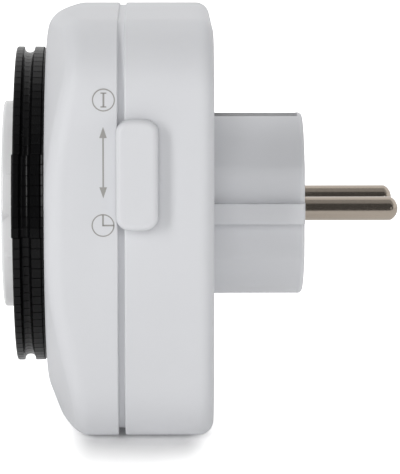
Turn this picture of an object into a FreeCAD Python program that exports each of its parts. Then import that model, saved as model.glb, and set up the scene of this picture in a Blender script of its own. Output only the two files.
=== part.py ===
import FreeCAD
import Part
import math
import os

# A mechanical 24 hour timer that plugs into an earthed wall socket.
# Frame: X runs along the plug pins, away from the dial; Y runs across the casing; Z is up.
# The origin is on the common axis of plug, dial and socket, in the plane of the casing's rear face.
# All lengths are in millimetres.

V = FreeCAD.Vector
AXIS_X = V(1, 0, 0)

# Casing
CASE_HALF_WIDTH = 38.0
CASE_TOP = 39.35
CASE_BOTTOM = -43.2
CASE_CORNER = 14.0
CASE_WALL = 2.2
REAR_FACE = 0.0
SEAM_REAR = -17.4
SEAM_FRONT = -18.7
FRONT_FACE = -33.15
SEAM_DEPTH = 0.75
REAR_EDGE_ROUND = 2.8
FRONT_EDGE_BEVEL = 1.8
SEAM_EDGE_BEVEL = 0.3
FLAT_FRONT_RADIUS = 36.0
DOME_SLOPE = 0.40
DIAL_OPENING = 32.5

# Plug and its pins
PLUG_RADIUS = 18.5
PLUG_END = 18.5
PLUG_BORE = 14.3
PLUG_END_WALL = 2.4
PLUG_EDGE_BEVEL = 0.6
PLUG_FLAT = 16.3
PLUG_FLAT_HALF_HEIGHT = 8.75
PLUG_RIB_HALF_HEIGHT = 2.02
PIN_SPACING = 19.0
PIN_RADIUS = 2.4
PIN_LENGTH = 19.0
PIN_REAR = 1.6
PIN_TAIL_RADIUS = 1.8
PIN_OFFSETS = {"live": -PIN_SPACING / 2, "neutral": PIN_SPACING / 2}

# Socket insert, which is also the hub that the dial turns on
HUB_RADIUS = 21.0
HUB_EDGE_BEVEL = 0.7
HUB_FRONT = -42.1
RECESS_RADIUS = 19.5
RECESS_FLOOR = -24.6
INSERT_REAR = -23.0
INSERT_FLANGE_RADIUS = 22.4
SOCKET_HOLE_RADIUS = 2.7
GUIDE_FLAT = 16.7

# Dial and its tappets
DIAL_BORE = 21.08
DIAL_WALL_RADIUS = 28.8
DIAL_FACE = -38.8
DIAL_REAR = -24.8
TAPPET_INNER = 28.95
TAPPET_OUTER = 32.0
TAPPET_FRONT = -39.7
TAPPET_REAR = -31.0
TAPPET_COUNT = 96
TAPPETS_PER_HOUR = 4
TAPPET_JOINT = 0.1
TAPPET_START = 5.24

# Gear train: dial gear, idler wheel and motor pinion
DIAL_GEAR_TEETH = 70
DIAL_GEAR_MODULE = 0.8
DIAL_GEAR_FRONT = -27.2
IDLER_PINION_TEETH = 10
IDLER_WHEEL_TEETH = 36
MOTOR_PINION_TEETH = 8
MOTOR_GEAR_MODULE = 0.5
IDLER_ANGLE = -51.0
MOTOR_ANGLE = 212.0

# Mechanism plate, motor and switch
PLATE_FRONT = -23.0
PLATE_REAR = -21.4
MOTOR_RADIUS = 8.7
MOTOR_REAR = -7.0
LEVER_PIVOT = (-22.0, -16.0)
LEVER_SWING = 7.5
ARM_PIVOT = (-19.0, 21.0)
ARM_SWING = 5.25
SWITCH_NEAR = -33.2

# Override button on the casing's side
BUTTON_FRONT = -19.0
BUTTON_REAR = -10.9
BUTTON_BOTTOM = -0.3
BUTTON_TOP = 21.3
BUTTON_HEIGHT = 3.2

SCREW_SEAT = -1.5
POST_END = -2.3
SCREW_PLACES = [(y, z) for y in (-29.5, 29.5) for z in (-34.5, 30.6)]
PLATE_POSTS = [(30.5, -12.5), (-2.5, -35.0)]


def box(x0, x1, y0, y1, z0, z1):
    return Part.makeBox(x1 - x0, y1 - y0, z1 - z0, V(x0, y0, z0))


def rod(x0, x1, radius, y=0.0, z=0.0):
    return Part.makeCylinder(radius, x1 - x0, V(x0, y, z), AXIS_X)


def tube(x0, x1, outer, inner, y=0.0, z=0.0):
    return rod(x0, x1, outer, y, z).cut(rod(x0 - 1, x1 + 1, inner, y, z))


def face_of(points):
    wire = Part.makePolygon(points + points[:1])
    return Part.Face(wire)


def turned(profile, start=0.0, sweep=360.0):
    """Turn a closed outline of (x, radius) points about the X axis."""
    face = face_of([V(x, r, 0) for x, r in profile])
    solid = face.revolve(V(0, 0, 0), AXIS_X, sweep)
    solid.rotate(V(0, 0, 0), AXIS_X, start)
    return solid


def polar(radius, degrees):
    angle = math.radians(degrees)
    return radius * math.cos(angle), radius * math.sin(angle)


def casing_outline(x, inset):
    """The casing's rounded outline in the plane at x, drawn in by inset."""
    half = CASE_HALF_WIDTH - inset
    top = CASE_TOP - inset
    bottom = CASE_BOTTOM + inset
    r = CASE_CORNER - inset
    corners = [(half - r, top - r, 0), (-half + r, top - r, 90),
               (-half + r, bottom + r, 180), (half - r, bottom + r, 270)]
    edges = []
    first = None
    last = None
    for cy, cz, start in corners:
        ends = []
        for turn in (0, 45, 90):
            dy, dz = polar(r, start + turn)
            ends.append(V(x, cy + dy, cz + dz))
        if last is not None:
            edges.append(Part.makeLine(last, ends[0]))
        else:
            first = ends[0]
        edges.append(Part.Arc(*ends).toShape())
        last = ends[2]
    edges.append(Part.makeLine(last, first))
    return Part.Wire(edges)


def casing_slab(x0, x1, inset=0.0):
    return Part.Face(casing_outline(x0, inset)).extrude(V(x1 - x0, 0, 0))


def rear_block():
    """The rear half's outside: a bevel at the seam and a round in three steps at the rear."""
    levels = [(SEAM_REAR, SEAM_EDGE_BEVEL), (SEAM_REAR + SEAM_EDGE_BEVEL, 0.0)]
    for degrees in (0, 30, 60, 90):
        along, across = polar(REAR_EDGE_ROUND, degrees)
        levels.append((REAR_FACE - REAR_EDGE_ROUND + across, REAR_EDGE_ROUND - along))
    return Part.makeLoft([casing_outline(x, inset) for x, inset in levels], True, True)


def strip(points, thickness, plane, low, high):
    """A bent metal strip: a path of straight runs given a thickness, then a width."""
    sides = ([], [])
    for i, (a, b) in enumerate(points):
        before = points[max(i - 1, 0)]
        after = points[min(i + 1, len(points) - 1)]
        normals = []
        for p, q in ((before, (a, b)), ((a, b), after)):
            run = math.hypot(q[0] - p[0], q[1] - p[1])
            if run > 0:
                normals.append(((p[1] - q[1]) / run, (q[0] - p[0]) / run))
        na = sum(n[0] for n in normals)
        nb = sum(n[1] for n in normals)
        mitre = thickness / 2 * len(normals) / (na * na + nb * nb)
        sides[0].append((a + na * mitre, b + nb * mitre))
        sides[1].append((a - na * mitre, b - nb * mitre))
    outline = sides[0] + sides[1][::-1]
    across = high - low
    if plane == "xy":
        return face_of([V(a, b, low) for a, b in outline]).extrude(V(0, 0, across))
    if plane == "yz":
        return face_of([V(low, a, b) for a, b in outline]).extrude(V(across, 0, 0))
    return face_of([V(a, low, b) for a, b in outline]).extrude(V(0, across, 0))


def gear(teeth, module, x0, x1, y=0.0, z=0.0, first_tooth=0.0):
    """A spur gear with straight-flanked teeth; the first tooth points along first_tooth degrees."""
    pitch = module * teeth / 2
    tip = pitch + 0.75 * module
    root = pitch - 1.05 * module
    step = 360.0 / teeth
    outline = []
    for n in range(teeth):
        middle = first_tooth + n * step
        for radius, share in ((root, -0.33), (tip, -0.11), (tip, 0.11), (root, 0.33)):
            dy, dz = polar(radius, middle + share * step)
            outline.append(V(x0, y + dy, z + dz))
    return face_of(outline).extrude(V(x1 - x0, 0, 0))


def front_dome(inset):
    """The turned form that cuts the cover's front: flat round the dial, then falling back."""
    face = FRONT_FACE + inset
    rim = 60.0
    rim_x = face + (rim - FLAT_FRONT_RADIUS) * DOME_SLOPE
    return turned([(face, 0), (face, FLAT_FRONT_RADIUS), (rim_x, rim), (0, rim), (0, 0)])


def rounded(shape, radius, wanted):
    return shape.makeFillet(radius, [edge for edge in shape.Edges if wanted(edge)])


def bevelled(shape, size, wanted):
    return shape.makeChamfer(size, [edge for edge in shape.Edges if wanted(edge)])


def at_x(edge, x, slack=1e-4):
    box_of = edge.BoundBox
    return abs(box_of.XMin - x) < slack and abs(box_of.XMax - x) < slack


def front_rim(edge):
    """True for the edges where the front falls over into the casing's sides."""
    span = edge.BoundBox
    middle = edge.valueAt((edge.FirstParameter + edge.LastParameter) / 2)
    lies_along_x = span.YLength < 1e-4 and span.ZLength < 1e-4
    return middle.x < -21.0 and math.hypot(middle.y, middle.z) > 37.0 and not lies_along_x


def sleeve_slots():
    """The recesses for the earth strips on the plug's top and bottom."""
    slot = box(-CASE_WALL - 0.1, 17.4, -3.6, 3.6, 16.9, 20.0)
    return slot.fuse(slot.mirror(V(0, 0, 0), V(0, 0, 1)))


def plug_sleeve():
    """The round plug: flat sides with a middle rib, earth recesses, a hollow inside."""
    sleeve = rod(REAR_FACE - 0.5, PLUG_END, PLUG_RADIUS)
    sleeve = bevelled(sleeve, PLUG_EDGE_BEVEL, lambda edge: at_x(edge, PLUG_END))
    for side in (-1, 1):
        outer = 25.0
        low, high = sorted((side * PLUG_FLAT, side * outer))
        for z0, z1 in ((PLUG_RIB_HALF_HEIGHT, PLUG_FLAT_HALF_HEIGHT),
                       (-PLUG_FLAT_HALF_HEIGHT, -PLUG_RIB_HALF_HEIGHT)):
            sleeve = sleeve.cut(box(REAR_FACE, 30.0, low, high, z0, z1))
    return sleeve


def rear_housing():
    shell = rear_block()
    shell = shell.cut(casing_slab(SEAM_REAR - 1, -CASE_WALL, CASE_WALL))
    shell = shell.fuse(plug_sleeve())
    for y, z in PLATE_POSTS:
        post = box(PLATE_REAR, -CASE_WALL, y - 2.2, y + 2.2, z - 2.2, z + 2.2)
        shell = shell.fuse(post.cut(rod(PLATE_REAR - 1, -14.0, 0.9, y, z)))
    shell = shell.cut(rod(-CASE_WALL - 1, PLUG_END - PLUG_END_WALL, PLUG_BORE))
    shell = shell.cut(sleeve_slots())
    for y in PIN_OFFSETS.values():
        shell = shell.cut(rod(10.0, 20.0, PIN_TAIL_RADIUS, y))
    for y, z in SCREW_PLACES:
        shell = shell.cut(rod(SCREW_SEAT, 1.0, 3.1, y, z))
        shell = shell.cut(rod(-5.0, 0.0, 1.6, y, z))
    slot = box(-15.6, -11.8, -40.0, -33.0, 6.3, 19.9)
    return shell.cut(slot).removeSplitter()


def front_cover():
    cover = casing_slab(FRONT_FACE - 1, SEAM_FRONT).common(front_dome(0.0))
    cover = bevelled(cover, FRONT_EDGE_BEVEL, front_rim)
    cover = bevelled(cover, SEAM_EDGE_BEVEL, lambda edge: at_x(edge, SEAM_FRONT))
    hollow = casing_slab(FRONT_FACE - 1, SEAM_FRONT + 1, CASE_WALL).common(front_dome(CASE_WALL))
    cover = cover.cut(hollow)
    lip = casing_slab(SEAM_FRONT, SEAM_REAR, SEAM_DEPTH)
    cover = cover.fuse(lip.cut(casing_slab(SEAM_FRONT - 1, SEAM_REAR + 1, CASE_WALL)))
    for y, z in SCREW_PLACES:
        cover = cover.fuse(box(-27.0, POST_END, y - 2.9, y + 2.9, z - 2.9, z + 2.9))
    cover = cover.cut(rod(FRONT_FACE - 2, -28.0, DIAL_OPENING))
    for y, z in SCREW_PLACES:
        cover = cover.cut(rod(-12.0, POST_END + 1, 1.2, y, z))
    return cover.removeSplitter()


def casing_screws():
    screws = []
    for y, z in SCREW_PLACES:
        head = rod(SCREW_SEAT, -0.1, 2.8, y, z)
        head = head.cut(box(-0.9, 0.0, y - 2.0, y + 2.0, z - 0.35, z + 0.35))
        head = head.cut(box(-0.9, 0.0, y - 0.35, y + 0.35, z - 2.0, z + 2.0))
        screws.append(head.fuse(rod(-12.0, SCREW_SEAT, 1.2, y, z)).removeSplitter())
    return Part.makeCompound(screws)


def socket_insert():
    """The white hub: earthed socket recess with two guide pads, floor slots and pin holes."""
    cup = rod(HUB_FRONT, INSERT_REAR, HUB_RADIUS)
    cup = bevelled(cup, HUB_EDGE_BEVEL, lambda edge: at_x(edge, HUB_FRONT))
    cup = cup.fuse(rod(-24.5, INSERT_REAR, INSERT_FLANGE_RADIUS))
    bore = rod(HUB_FRONT - 1, RECESS_FLOOR, RECESS_RADIUS)
    for side in (-1, 1):
        low, high = sorted((side * GUIDE_FLAT, side * 22.0))
        pad = box(-41.0, RECESS_FLOOR, low, high, -8.3, 8.3)
        pad = pad.cut(box(-43.0, RECESS_FLOOR + 1, low - 1, high + 1, -2.4, 2.4))
        bore = bore.cut(pad)
    cup = cup.cut(bore)
    for y in PIN_OFFSETS.values():
        cup = cup.cut(rod(RECESS_FLOOR - 1, INSERT_REAR + 1, SOCKET_HOLE_RADIUS, y))
    slot = box(RECESS_FLOOR - 1, INSERT_REAR + 1, -3.3, 3.3, 17.1, 19.2)
    cup = cup.cut(slot).cut(slot.mirror(V(0, 0, 0), V(0, 0, 1)))
    pointer = face_of([V(HUB_FRONT + 0.3, -20.5, -1.5), V(HUB_FRONT + 0.3, -20.5, 1.5),
                       V(-40.3, -20.5, 0)]).extrude(V(0, -0.8, 0))
    return cup.fuse(pointer).removeSplitter()


def tappet(start):
    """One 15 minute tappet: two flanges with a finger groove between, and a tail behind.

    It is a flat-faced wedge between two planes through the dial's axis.
    """
    half_joint = math.degrees(TAPPET_JOINT / 2 / TAPPET_OUTER)
    step = 360.0 / TAPPET_COUNT
    groove = TAPPET_OUTER - 1.2
    profile = [(TAPPET_FRONT, TAPPET_INNER), (TAPPET_FRONT, TAPPET_OUTER),
               (TAPPET_FRONT + 1.5, TAPPET_OUTER), (TAPPET_FRONT + 1.7, groove),
               (TAPPET_FRONT + 3.6, groove), (TAPPET_FRONT + 3.8, TAPPET_OUTER),
               (TAPPET_FRONT + 6.0, TAPPET_OUTER), (TAPPET_REAR, TAPPET_OUTER - 0.3),
               (TAPPET_REAR, TAPPET_INNER)]
    low = [V(x, *polar(r, start + half_joint)) for x, r in profile]
    high = [V(x, *polar(r, start + step - half_joint)) for x, r in profile]
    faces = [face_of(low[::-1]), face_of(high)]
    for n in range(len(profile)):
        faces.append(face_of([low[n - 1], low[n], high[n], high[n - 1]]))
    return Part.Solid(Part.Shell(faces))


def tappets(hour):
    step = 360.0 / TAPPET_COUNT
    first = hour * TAPPETS_PER_HOUR
    group = [tappet(TAPPET_START + (first + n) * step) for n in range(TAPPETS_PER_HOUR)]
    return Part.makeCompound(group)


def dial():
    """The dial: a ring with a flat face in front and a gear at its rear."""
    ring = rod(DIAL_FACE, DIAL_GEAR_FRONT, DIAL_WALL_RADIUS)
    teeth = gear(DIAL_GEAR_TEETH, DIAL_GEAR_MODULE, DIAL_GEAR_FRONT, DIAL_REAR,
                 first_tooth=IDLER_ANGLE)
    return ring.fuse(teeth).cut(rod(DIAL_FACE - 1, DIAL_REAR + 1, DIAL_BORE))


def idler_place():
    reach = DIAL_GEAR_MODULE * (DIAL_GEAR_TEETH + IDLER_PINION_TEETH) / 2
    return polar(reach, IDLER_ANGLE)


def motor_place():
    reach = MOTOR_GEAR_MODULE * (IDLER_WHEEL_TEETH + MOTOR_PINION_TEETH) / 2
    iy, iz = idler_place()
    dy, dz = polar(reach, MOTOR_ANGLE)
    return iy + dy, iz + dz


def idler_gear():
    y, z = idler_place()
    pinion = gear(IDLER_PINION_TEETH, DIAL_GEAR_MODULE, DIAL_GEAR_FRONT + 0.5, -24.4, y, z,
                  IDLER_ANGLE + 180 + 180.0 / IDLER_PINION_TEETH)
    wheel = gear(IDLER_WHEEL_TEETH, MOTOR_GEAR_MODULE, -24.5, -23.3, y, z, MOTOR_ANGLE)
    return pinion.fuse(wheel).cut(rod(-30.0, -20.0, 1.05, y, z))


def idler_axle():
    y, z = idler_place()
    return rod(-27.6, PLATE_REAR, 1.0, y, z)


def mechanism_plate():
    plate = box(PLATE_FRONT, PLATE_REAR, -6.0, 33.4, -38.6, -9.0)
    plate = plate.cut(box(-30.0, 0.0, 25.0, 40.0, -40.0, -30.0))
    plate = plate.cut(rod(-30.0, 0.0, HUB_RADIUS + 0.2))
    for y, z in PLATE_POSTS:
        plate = plate.cut(rod(-30.0, 0.0, 1.1, y, z))
    my, mz = motor_place()
    iy, iz = idler_place()
    return plate.cut(rod(-30.0, 0.0, 1.6, my, mz)).cut(rod(-30.0, 0.0, 1.0, iy, iz))


def plate_screws():
    screws = []
    for y, z in PLATE_POSTS:
        head = rod(PLATE_FRONT - 1.2, PLATE_FRONT, 2.0, y, z)
        head = head.cut(box(-25.0, PLATE_FRONT - 0.6, y - 3.0, y + 3.0, z - 0.3, z + 0.3))
        screws.append(head.fuse(rod(PLATE_FRONT, -14.0, 0.9, y, z)).removeSplitter())
    return Part.makeCompound(screws)


def motor_can():
    y, z = motor_place()
    can = rod(PLATE_REAR, MOTOR_REAR, MOTOR_RADIUS, y, z)
    return can.cut(rod(PLATE_REAR - 1, MOTOR_REAR - 0.8, MOTOR_RADIUS - 0.7, y, z))


def motor_coil():
    y, z = motor_place()
    return tube(PLATE_REAR + 1.0, MOTOR_REAR - 1.0, 7.8, 5.3, y, z)


def motor_rotor():
    y, z = motor_place()
    to_motor = MOTOR_ANGLE + 180 + 180.0 / MOTOR_PINION_TEETH
    pinion = gear(MOTOR_PINION_TEETH, MOTOR_GEAR_MODULE, -24.4, -23.3, y, z, to_motor)
    shaft = rod(-23.5, -8.2, 0.9, y, z)
    magnet = rod(-19.0, -9.0, 4.8, y, z)
    return pinion.fuse([shaft, magnet])


def pin(side):
    """A round plug pin with a rounded tip and a thinner tail, riveted to a contact strip."""
    tip_centre = PLUG_END + PIN_LENGTH - PIN_RADIUS
    profile = [(PIN_REAR, 0), (PIN_REAR, PIN_TAIL_RADIUS), (PLUG_END, PIN_TAIL_RADIUS),
               (PLUG_END, PIN_RADIUS), (tip_centre, PIN_RADIUS)]
    for degrees in (55, 25, 0):
        across, along = polar(PIN_RADIUS, degrees)
        profile.append((tip_centre + across, along))
    shape = turned(profile)
    shape.translate(V(0, PIN_OFFSETS[side], 0))
    return shape


def pin_carrier():
    block = rod(3.0, PLUG_END - PLUG_END_WALL, PLUG_BORE - 0.1)
    block = block.common(box(0.0, 20.0, -20.0, 20.0, -6.5, 6.5))
    block = block.cut(box(0.0, 11.0, -4.0, 4.0, -10.0, 10.0))
    for side in (-1, 1):
        low, high = sorted((side * 12.4, side * 20.0))
        block = block.cut(box(0.0, 20.0, low, high, -10.0, 10.0))
    for y in PIN_OFFSETS.values():
        block = block.cut(rod(0.0, 20.0, PIN_TAIL_RADIUS, y))
    return block


def contact_carrier():
    """The insulating block that holds the socket contacts and guides the shutter."""
    block = box(-19.6, -8.0, -16.0, 16.0, -6.5, 6.5)
    for side in (-1, 1):
        low, high = sorted((side * 13.8, side * 16.0))
        block = block.fuse(box(INSERT_REAR, -19.6, low, high, -6.5, 12.0))
        block = block.fuse(box(-19.6, -18.0, low, high, 6.5, 12.0))
        low, high = sorted((side * 14.4, side * 16.0))
        block = block.fuse(box(-8.0, -CASE_WALL, low, high, -6.5, -3.5))
    block = block.fuse(box(INSERT_REAR, -18.0, -16.0, 16.0, 12.0, 13.4))
    for y in PIN_OFFSETS.values():
        block = block.cut(rod(-25.0, -5.0, 3.5, y))
    return block.removeSplitter()


def shutter():
    """The sliding shutter that covers both socket holes, with a ramp beside each hole."""
    plate = box(-21.9, -19.9, -13.6, 13.6, -3.6, 3.6)
    for y in PIN_OFFSETS.values():
        ramp = face_of([V(-22.0, y - 2.9, -3.7), V(-22.0, y - 2.9, 3.0), V(-20.3, y - 2.9, -3.7)])
        plate = plate.cut(ramp.extrude(V(0, 5.8, 0)))
    return plate


def shutter_spring():
    """A bowed leaf spring between the shutter's upper edge and the guide's top bar."""
    bow = [(-11.8, 4.0), (-6.0, 9.4), (0.0, 11.6), (6.0, 9.4), (11.8, 4.0)]
    return strip(bow, 0.4, "yz", -21.5, -20.3)


def socket_contact(side):
    """A slotted sleeve that grips one pin of the plug put into the socket."""
    y = PIN_OFFSETS[side]
    sleeve = tube(-19.2, -8.0, 3.15, 2.35, y)
    sleeve = sleeve.cut(box(-20.0, -10.0, y - 5, y + 5, -0.5, 0.5))
    return sleeve.fuse(rod(-8.0, -7.2, 3.15, y)).removeSplitter()


def neutral_bus():
    bus = strip([(2.6, 6.6), (2.6, 13.05), (-7.6, 13.05)], 0.8, "xy", -2.8, 2.8)
    return bus.cut(rod(0.0, 5.0, PIN_TAIL_RADIUS, PIN_OFFSETS["neutral"]))


def live_bus():
    path = [(2.6, -6.6), (2.6, -13.1), (-3.8, -13.1), (-3.8, -26.0), (-15.4, -26.0),
            (-15.4, -32.6)]
    bus = strip(path, 0.8, "xy", -2.8, 8.0)
    bus = bus.cut(box(-3.0, 5.0, -20.0, 0.0, 2.8, 10.0))
    bus = bus.cut(rod(0.0, 5.0, PIN_TAIL_RADIUS, PIN_OFFSETS["live"]))
    return bus.fuse(rod(-17.0, -15.6, 1.3, -31.0, 6.0))


def live_link():
    path = [(-6.8, -7.6), (-6.8, -22.0), (-18.4, -22.0)]
    link = strip(path, 0.8, "xy", -2.0, 2.0)
    riser = box(-18.8, -14.0, -22.4, -21.6, -2.0, 22.5)
    ear = box(-18.8, -18.0, -27.4, -21.6, 19.0, 22.5)
    return link.fuse([riser, ear])


def earth_bracket():
    """One bent strip each side, from the plug's recess to the socket's sprung tongue."""
    arm = strip([(-4.6, 0.0), (-4.6, 18.1), (-25.5, 18.1), (-31.0, 16.4), (-38.0, 18.4)],
                0.7, "xz", -3.0, 3.0)
    tongue = strip([(-4.9, 17.5), (3.0, 17.5), (9.0, 17.9), (16.5, 17.4)], 0.7, "xz", -3.0, 3.0)
    half = arm.fuse(tongue)
    return half.fuse(half.mirror(V(0, 0, 0), V(0, 0, 1))).removeSplitter()


def switch_base():
    """The insulating base of the switch, with lugs for the lever and the contact arm."""
    base = box(-15.0, -6.0, SWITCH_NEAR, -26.6, -20.0, 25.0)
    base = base.cut(box(-12.0, -5.0, SWITCH_NEAR + 2, -24.0, -17.0, 22.0))
    base = base.fuse(box(-24.4, -15.0, -30.6, -28.0, -19.5, -12.5))
    base = base.fuse(box(-20.8, -15.0, -29.4, -27.6, 18.0, 25.0))
    for x, z in (LEVER_PIVOT, ARM_PIVOT):
        base = base.fuse(Part.makeCylinder(1.0, 4.2, V(x, -33.6, z), V(0, 1, 0)))
    return base.removeSplitter()


def follower_lever():
    """The lever whose finger stands behind the tappets and whose nose pushes the contact arm.

    It is drawn with its finger forward, then swung back as a pushed-in tappet holds it.
    """
    px, pz = LEVER_PIVOT
    y0, y1 = -33.2, -30.9
    outline = [(px - 2.2, pz - 1.0), (px + 1.6, pz - 1.6), (px + 2.2, pz + 1.5), (px + 0.4, -3.5),
               (-20.4, -1.0), (-20.4, 1.0), (-23.5, 1.5), (-26.8, -1.5), (-29.4, -1.5),
               (-29.4, -5.5), (-26.0, -6.5)]
    plate = face_of([V(x, y0, z) for x, z in outline]).extrude(V(0, y1 - y0, 0))
    boss = Part.makeCylinder(2.4, y1 - y0, V(px, y0, pz), V(0, 1, 0))
    finger = box(-29.4, -27.0, y0, -29.4, -5.5, -1.5)
    hole = Part.makeCylinder(1.05, 6.0, V(px, -35.0, pz), V(0, 1, 0))
    lever = plate.fuse([boss, finger]).cut(hole).removeSplitter()
    lever.rotate(V(px, 0, pz), V(0, 1, 0), LEVER_SWING)
    return lever


def contact_arm():
    """The moving contact: a pivoted arm with a rivet that meets the fixed contact."""
    px, pz = ARM_PIVOT
    y0, y1 = -32.4, -29.7
    boss = Part.makeCylinder(2.0, y1 - y0, V(px, y0, pz), V(0, 1, 0))
    blade = box(-20.0, -19.4, y0, y1, -1.5, pz)
    rivet = Part.makeCylinder(1.3, 0.9, V(-19.5, -31.0, 6.0), AXIS_X)
    hole = Part.makeCylinder(1.05, 6.0, V(px, -35.0, pz), V(0, 1, 0))
    arm = boss.fuse([blade, rivet]).cut(hole).removeSplitter()
    arm.rotate(V(px, 0, pz), V(0, -1, 0), ARM_SWING)
    return arm


def button_outline(y):
    """The side button's outline: softly bowed ends and four rounded corners."""
    x0, x1 = BUTTON_FRONT, BUTTON_REAR
    z0, z1 = BUTTON_BOTTOM, BUTTON_TOP
    bow = 0.3
    middle = (x0 + x1) / 2
    ends = []
    for z, out in ((z1, 1), (z0, -1)):
        ends.append(Part.Arc(V(x0, y, z - out * bow), V(middle, y, z),
                             V(x1, y, z - out * bow)).toShape())
    sides = [Part.makeLine(V(x, y, z0 + bow), V(x, y, z1 - bow)) for x in (x0, x1)]
    return Part.Wire(Part.__sortEdges__(ends + sides))


def override_slider():
    """The override button: an outer cap, a stem through the slot and a foot inside."""
    skin = -CASE_HALF_WIDTH - 0.15
    face = skin - BUTTON_HEIGHT
    cap = Part.Face(button_outline(skin)).extrude(V(0, -BUTTON_HEIGHT, 0))
    cap = rounded(cap, 2.0, lambda edge: edge.BoundBox.XLength + edge.BoundBox.ZLength < 1e-4)
    cap = bevelled(cap, 0.8, lambda edge: abs(edge.BoundBox.YMax - face) < 1e-4)
    stem = box(-15.4, -12.0, skin - 0.5, -33.6, 6.5, 14.5)
    foot = box(-15.8, -9.0, -35.6, -33.6, 3.0, 18.0)
    return cap.fuse([stem, foot]).removeSplitter()


def detent_spring():
    path = [(-8.3, -2.0), (-8.3, 8.0), (-8.7, 13.0), (-8.3, 18.0), (-8.3, 27.0)]
    return strip(path, 0.35, "xz", -35.7, -34.0)


PARTS = {
    "rear_housing": rear_housing,
    "front_cover": front_cover,
    "casing_screws": casing_screws,
    "socket_insert": socket_insert,
    "dial": dial,
    "idler_gear": idler_gear,
    "idler_axle": idler_axle,
    "mechanism_plate": mechanism_plate,
    "plate_screws": plate_screws,
    "motor_can": motor_can,
    "motor_coil": motor_coil,
    "motor_rotor": motor_rotor,
    "pin_carrier": pin_carrier,
    "contact_carrier": contact_carrier,
    "shutter": shutter,
    "shutter_spring": shutter_spring,
    "neutral_bus": neutral_bus,
    "live_bus": live_bus,
    "live_link": live_link,
    "earth_bracket": earth_bracket,
    "switch_base": switch_base,
    "follower_lever": follower_lever,
    "contact_arm": contact_arm,
    "override_slider": override_slider,
    "detent_spring": detent_spring,
}


def main():
    os.makedirs("parts", exist_ok=True)
    for name, make in PARTS.items():
        make().exportStep("parts/" + name + ".step")
    for side in PIN_OFFSETS:
        pin(side).exportStep("parts/" + side + "_pin.step")
        socket_contact(side).exportStep("parts/" + side + "_socket_contact.step")
    for hour in range(TAPPET_COUNT // TAPPETS_PER_HOUR):
        tappets(hour).exportStep("parts/tappets_hour_%02d.step" % hour)


main()
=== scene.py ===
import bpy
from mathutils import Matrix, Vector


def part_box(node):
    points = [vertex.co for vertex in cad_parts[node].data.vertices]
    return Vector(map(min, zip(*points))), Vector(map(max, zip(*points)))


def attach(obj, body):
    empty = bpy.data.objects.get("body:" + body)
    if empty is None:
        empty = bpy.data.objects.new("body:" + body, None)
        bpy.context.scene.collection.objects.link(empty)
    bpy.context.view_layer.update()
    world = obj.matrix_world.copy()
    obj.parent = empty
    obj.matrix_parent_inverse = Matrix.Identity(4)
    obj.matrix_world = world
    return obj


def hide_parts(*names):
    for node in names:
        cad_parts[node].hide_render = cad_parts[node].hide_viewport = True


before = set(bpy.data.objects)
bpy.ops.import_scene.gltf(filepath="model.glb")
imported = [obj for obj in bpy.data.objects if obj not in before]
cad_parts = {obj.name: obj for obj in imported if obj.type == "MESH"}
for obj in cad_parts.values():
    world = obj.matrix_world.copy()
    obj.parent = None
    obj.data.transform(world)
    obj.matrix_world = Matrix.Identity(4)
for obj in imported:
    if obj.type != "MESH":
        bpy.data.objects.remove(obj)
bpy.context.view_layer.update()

import math

import bmesh
import bpy
from bpy.props import FloatProperty, FloatVectorProperty, IntProperty, PointerProperty
from mathutils import Matrix, Vector

bl_info = {
    "name": "Plug In Timer Switch",
    "version": (1, 0, 0),
    "blender": (4, 5, 0),
    "location": "View3D > Sidebar > Timer",
    "description": "Dresses the frame of a mechanical plug in timer switch",
    "category": "Object",
}

# Sizes are in millimetres; a finished mesh is scaled to metres when it is put on its body.
MM = 0.001


def frame_box(node):
    """The corners of a frame node in millimetres, as (low, high)."""
    low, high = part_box(node)
    return [tuple(round(value / MM, 3) for value in corner) for corner in (low, high)]


REAR_BOX = frame_box("rear_housing")
COVER_BOX = frame_box("front_cover")
DIAL_BOX = frame_box("dial")
HUB_BOX = frame_box("socket_insert")
BUTTON_BOX = frame_box("override_slider")
PIN_BOX = frame_box("live_pin")

# Casing
CASE_HALF = REAR_BOX[1][1]
CASE_TOP = REAR_BOX[1][2]
CASE_BOTTOM = REAR_BOX[0][2]
CASE_CORNER = 14.0
CASE_WALL = 2.2
FRONT_FACE = COVER_BOX[0][0]
SEAM_FRONT = -18.7
SEAM_REAR = -17.4
SEAM_DEPTH = 1.45
SEAM_DEPTH_ON_TOP = 0.45
FLAT_FRONT_RADIUS = 36.0
FRONT_SLOPE = 0.40
DIAL_OPENING = 32.5

# Plug
PLUG_END = REAR_BOX[1][0]
PLUG_RADIUS = 18.5
PLUG_BORE = 14.3
PLUG_END_WALL = 2.4
PLUG_FLAT_HALF_HEIGHT = 8.75
PLUG_RIB_HALF_HEIGHT = 2.02
PIN_OFFSET = 9.5
PIN_RADIUS = 2.4
PIN_TAIL = 1.8

# Hub
HUB_FRONT = HUB_BOX[0][0]
HUB_REAR = HUB_BOX[1][0]
HUB_RADIUS = 21.0
RECESS_RADIUS = 19.5
RECESS_FLOOR = -24.6
FLANGE_RADIUS = 22.4

# Dial and tappets
DIAL_FACE = DIAL_BOX[0][0]
DIAL_REAR = DIAL_BOX[1][0]
DIAL_BORE = 21.08
DIAL_EDGE = 28.8
GEAR_FRONT = -27.2
GEAR_TEETH = 70
GEAR_MODULE = 0.8
GEAR_FIRST_TOOTH = -51.0
HOURS = 24
TAPPETS_PER_HOUR = 4
TAPPET_STEP = 360.0 / (HOURS * TAPPETS_PER_HOUR)
TAPPET_START = 5.24
TAPPET_FRONT = -39.43
TAPPET_REAR = -31.0
TAPPET_INNER = 28.95
TAPPET_OUTER = 32.0
FORWARD_HOURS = (10, 11)

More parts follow.
